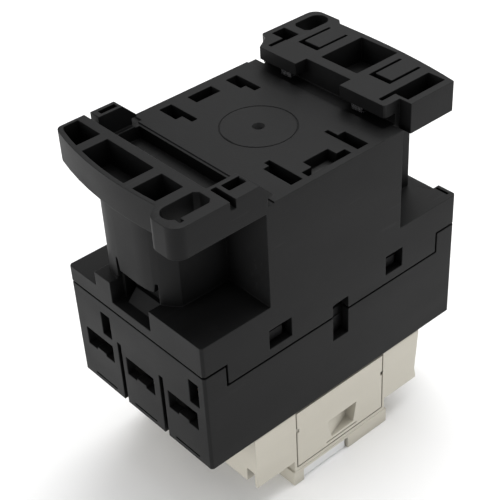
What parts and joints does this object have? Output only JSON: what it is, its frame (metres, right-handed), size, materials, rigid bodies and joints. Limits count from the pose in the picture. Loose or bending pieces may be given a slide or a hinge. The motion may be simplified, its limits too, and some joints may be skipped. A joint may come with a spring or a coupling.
{
  "type": "din rail contactor",
  "caption": "Compact power contactor seen from its rail side: black two-part housing with screw ears and rail catches, light front cover with hinged side doors, working magnet and contacts.",
  "frame": {"origin": "centre of the rail seat on the back of the housing", "axes": "+X across the three poles, +Y from the line end to the load end, +Z out of the back towards the rail"},
  "size_m": [0.045, 0.0785, 0.0856],
  "materials": {
    "black_plastic": "moulded black thermoplastic, fine satin grain",
    "cream_plastic": "moulded warm light grey thermoplastic",
    "dark_plastic": "moulded dark grey thermoset",
    "clear_plastic": "clear moulded plastic",
    "label": "plain white insert",
    "nylon": "moulded nylon",
    "elastomer": "soft black pad",
    "tape": "amber wrapped winding",
    "lamination": "stacked electrical steel",
    "zinc": "zinc plated steel",
    "brass": "stamped brass",
    "copper": "stamped copper with silver tips",
    "spring_steel": "bright spring steel"
  },
  "bodies": {
    "housing": {"base_housing": "black_plastic", "contact_housing": "black_plastic", "front_cover": "cream_plastic", "label_holder": "clear_plastic", "label_plate": "label", "core_cushion": "elastomer", "fixed_core": "lamination", "shading_ring_left": "copper", "shading_ring_right": "copper", "coil_bobbin": "nylon", "coil_winding": "tape", "coil_lead_line": "brass", "coil_lead_load": "brass", "return_spring_line": "spring_steel", "return_spring_load": "spring_steel", "line_terminal_1": "copper", "line_terminal_2": "copper", "line_terminal_3": "copper", "load_terminal_1": "copper", "load_terminal_2": "copper", "load_terminal_3": "copper", "aux_open_line": "brass", "aux_open_load": "brass", "aux_closed_line": "brass", "aux_closed_load": "brass"},
    "carrier": {"contact_carrier": "dark_plastic", "armature": "lamination", "armature_pin": "zinc", "contact_spring_1": "spring_steel", "contact_spring_2": "spring_steel", "contact_spring_3": "spring_steel", "aux_spring_open": "spring_steel", "aux_spring_closed": "spring_steel"},
    "bridge_1": {"main_bridge_1": "copper"},
    "bridge_2": {"main_bridge_2": "copper"},
    "bridge_3": {"main_bridge_3": "copper"},
    "aux_bridge_open": {"aux_bridge_open": "brass"},
    "aux_bridge_closed": {"aux_bridge_closed": "brass"},
    "door_left": {"side_door_left": "cream_plastic"},
    "rail_spring_left": {"rail_spring_left": "spring_steel"},
    "door_right": {"side_door_right": "cream_plastic"},
    "rail_spring_right": {"rail_spring_right": "spring_steel"},
    "line_screw_1": {"line_screw_1": "zinc"},
    "line_screw_2": {"line_screw_2": "zinc"},
    "line_screw_3": {"line_screw_3": "zinc"},
    "load_screw_1": {"load_screw_1": "zinc"},
    "load_screw_2": {"load_screw_2": "zinc"},
    "load_screw_3": {"load_screw_3": "zinc"},
    "control_line_screw_1": {"control_line_screw_1": "zinc"},
    "control_line_screw_2": {"control_line_screw_2": "zinc"},
    "control_line_screw_3": {"control_line_screw_3": "zinc"},
    "control_load_screw_1": {"control_load_screw_1": "zinc"},
    "control_load_screw_2": {"control_load_screw_2": "zinc"},
    "control_load_screw_3": {"control_load_screw_3": "zinc"}
  },
  "joints": [
    {"name": "carrier_slide", "type": "slide", "parent": "housing", "child": "carrier", "axis": [0, 0, 1], "range_m": [0, 0.004], "stiffness_N_per_m": 1000, "springref_m": -0.005, "deforming": ["return_spring_line", "return_spring_load"]},
    {"name": "bridge_1_float", "type": "slide", "parent": "carrier", "child": "bridge_1", "axis": [0, 0, -1], "range_m": [0, 0.0012], "stiffness_N_per_m": 1000, "springref_m": -0.002, "deforming": ["contact_spring_1"]},
    {"name": "bridge_2_float", "type": "slide", "parent": "carrier", "child": "bridge_2", "axis": [0, 0, -1], "range_m": [0, 0.0012], "stiffness_N_per_m": 1000, "springref_m": -0.002, "deforming": ["contact_spring_2"]},
    {"name": "bridge_3_float", "type": "slide", "parent": "carrier", "child": "bridge_3", "axis": [0, 0, -1], "range_m": [0, 0.0012], "stiffness_N_per_m": 1000, "springref_m": -0.002, "deforming": ["contact_spring_3"]},
    {"name": "aux_open_float", "type": "slide", "parent": "carrier", "child": "aux_bridge_open", "axis": [0, 0, -1], "range_m": [0, 0.001], "stiffness_N_per_m": 300, "springref_m": -0.001, "deforming": ["aux_spring_open"]},
    {"name": "aux_closed_float", "type": "slide", "parent": "carrier", "child": "aux_bridge_closed", "axis": [0, 0, 1], "range_m": [0, 0.001], "stiffness_N_per_m": 300, "springref_m": -0.001, "deforming": ["aux_spring_closed"]},
    {"name": "door_left_hinge", "type": "hinge", "parent": "housing", "child": "door_left", "pos_m": [-0.021, 0.0009, -0.0641], "axis": [0, 1, 0], "range_deg": [0, 75]},
    {"name": "rail_spring_left_slide", "type": "slide", "parent": "housing", "child": "rail_spring_left", "axis": [0, 1, 0], "range_m": [0, 0.0024], "stiffness_N_per_m": 1500, "springref_m": -0.001},
    {"name": "door_right_hinge", "type": "hinge", "parent": "housing", "child": "door_right", "pos_m": [0.021, 0.0009, -0.0641], "axis": [0, -1, 0], "range_deg": [0, 75]},
    {"name": "rail_spring_right_slide", "type": "slide", "parent": "housing", "child": "rail_spring_right", "axis": [0, 1, 0], "range_m": [0, 0.0024], "stiffness_N_per_m": 1500, "springref_m": -0.001},
    {"name": "line_screw_1_turn", "type": "hinge", "parent": "housing", "child": "line_screw_1", "pos_m": [-0.0144, -0.0304, -0.048], "axis": [0, 0, 1], "continuous": true},
    {"name": "line_screw_2_turn", "type": "hinge", "parent": "housing", "child": "line_screw_2", "pos_m": [0, -0.0304, -0.048], "axis": [0, 0, 1], "continuous": true},
    {"name": "line_screw_3_turn", "type": "hinge", "parent": "housing", "child": "line_screw_3", "pos_m": [0.0144, -0.0304, -0.048], "axis": [0, 0, 1], "continuous": true},
    {"name": "load_screw_1_turn", "type": "hinge", "parent": "housing", "child": "load_screw_1", "pos_m": [-0.0144, 0.0304, -0.048], "axis": [0, 0, 1], "continuous": true},
    {"name": "load_screw_2_turn", "type": "hinge", "parent": "housing", "child": "load_screw_2", "pos_m": [0, 0.0304, -0.048], "axis": [0, 0, 1], "continuous": true},
    {"name": "load_screw_3_turn", "type": "hinge", "parent": "housing", "child": "load_screw_3", "pos_m": [0.0144, 0.0304, -0.048], "axis": [0, 0, 1], "continuous": true},
    {"name": "control_line_screw_1_turn", "type": "hinge", "parent": "housing", "child": "control_line_screw_1", "pos_m": [-0.0144, -0.0189, -0.069], "axis": [0, 0, 1], "continuous": true},
    {"name": "control_line_screw_2_turn", "type": "hinge", "parent": "housing", "child": "control_line_screw_2", "pos_m": [0, -0.0189, -0.069], "axis": [0, 0, 1], "continuous": true},
    {"name": "control_line_screw_3_turn", "type": "hinge", "parent": "housing", "child": "control_line_screw_3", "pos_m": [0.0144, -0.0189, -0.069], "axis": [0, 0, 1], "continuous": true},
    {"name": "control_load_screw_1_turn", "type": "hinge", "parent": "housing", "child": "control_load_screw_1", "pos_m": [-0.0144, 0.0207, -0.069], "axis": [0, 0, 1], "continuous": true},
    {"name": "control_load_screw_2_turn", "type": "hinge", "parent": "housing", "child": "control_load_screw_2", "pos_m": [0, 0.0207, -0.069], "axis": [0, 0, 1], "continuous": true},
    {"name": "control_load_screw_3_turn", "type": "hinge", "parent": "housing", "child": "control_load_screw_3", "pos_m": [0.0144, 0.0207, -0.069], "axis": [0, 0, 1], "continuous": true}
  ]
}
